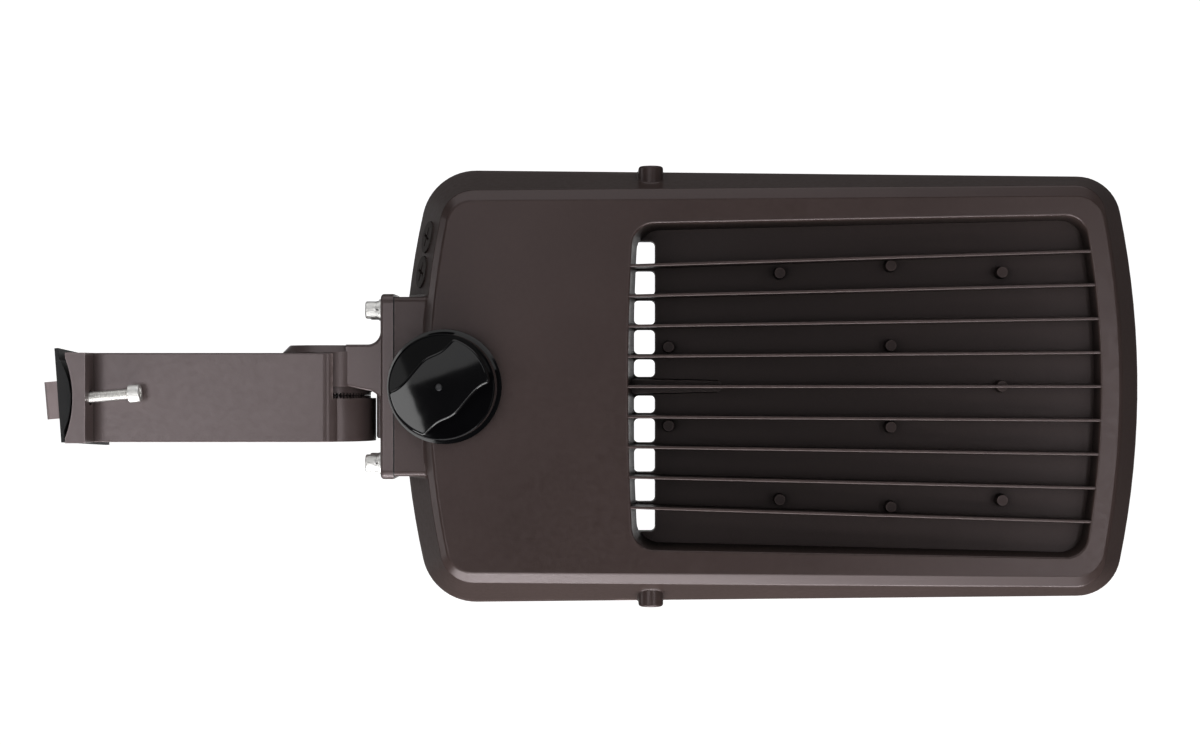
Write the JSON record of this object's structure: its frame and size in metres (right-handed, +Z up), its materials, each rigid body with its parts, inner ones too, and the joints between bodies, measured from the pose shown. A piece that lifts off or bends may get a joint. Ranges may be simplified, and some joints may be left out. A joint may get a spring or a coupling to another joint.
{
  "type": "led street light",
  "caption": "Pole-mounted LED area light: flat finned wedge head with a twist-lock cap, on a toothed tilting knuckle and a box arm with a pole clamp.",
  "frame": {"origin": "where the wire hole opens in the middle of the concave pole seat", "axes": "+X from the pole to the far end of the head, +Z up"},
  "size_m": [0.8194, 0.334, 0.1631],
  "materials": {
    "bronze_cast": "die-cast aluminium with dark bronze powder coat, satin",
    "bronze_arm": "aluminium with dark bronze powder coat, fine sand texture, matte",
    "stainless": "stainless steel",
    "black_plastic": "glossy black moulded plastic",
    "plug_plastic": "bronze-coloured moulded plastic",
    "black_rubber": "black rubber",
    "silicone": "grey silicone",
    "brass": "plain brass",
    "driver_case": "potted case in a light grey shell",
    "terminal_plastic": "off-white moulded plastic",
    "board": "metal-core board, white mask",
    "led_phosphor": "yellow phosphor over a ceramic package",
    "lens": "clear moulded optic"
  },
  "bodies": {
    "arm": {"arm": "bronze_arm"},
    "head": {"housing": "bronze_cast", "selector_plugs": "plug_plastic", "selector_orings": "black_rubber", "driver_door": "bronze_cast", "door_gasket": "black_rubber", "door_screws": "stainless", "led_driver": "driver_case", "surge_protector": "driver_case", "terminal_block": "terminal_plastic", "gear_screws": "stainless", "led_board": "board", "leds": "led_phosphor", "lens_panel": "lens", "lens_seal": "silicone", "lens_screws": "stainless", "receptacle": "black_plastic", "receptacle_gasket": "black_rubber", "receptacle_contacts": "brass", "receptacle_screws": "stainless", "knuckle_bracket": "bronze_cast", "bracket_gasket": "black_rubber", "bracket_bolts": "stainless", "bracket_spring_washers": "stainless", "bracket_flat_washers": "stainless", "pivot_bolt": "stainless", "pivot_washer": "stainless", "pivot_nut": "stainless"},
    "cap": {"shorting_cap": "black_plastic", "cap_blades": "brass", "cap_gasket": "black_rubber", "cap_rivet": "stainless"},
    "clamp": {"pole_pad": "black_rubber", "nut_bar": "bronze_arm", "pole_bolts": "stainless"}
  },
  "joints": [
    {"name": "knuckle_tilt", "type": "hinge", "parent": "arm", "child": "head", "pos_m": [0.178, 0, 0], "axis": [0, -1, 0], "range_deg": [-25, 25]},
    {"name": "cap_twist", "type": "hinge", "parent": "head", "child": "cap", "pos_m": [0.2684, 0.008, 0.06], "axis": [0, 0, 1], "range_deg": [0, 15]},
    {"name": "clamp_slide", "type": "slide", "parent": "arm", "child": "clamp", "axis": [-0.9962, -0.0872, 0], "range_m": [0, 0.027]}
  ]
}
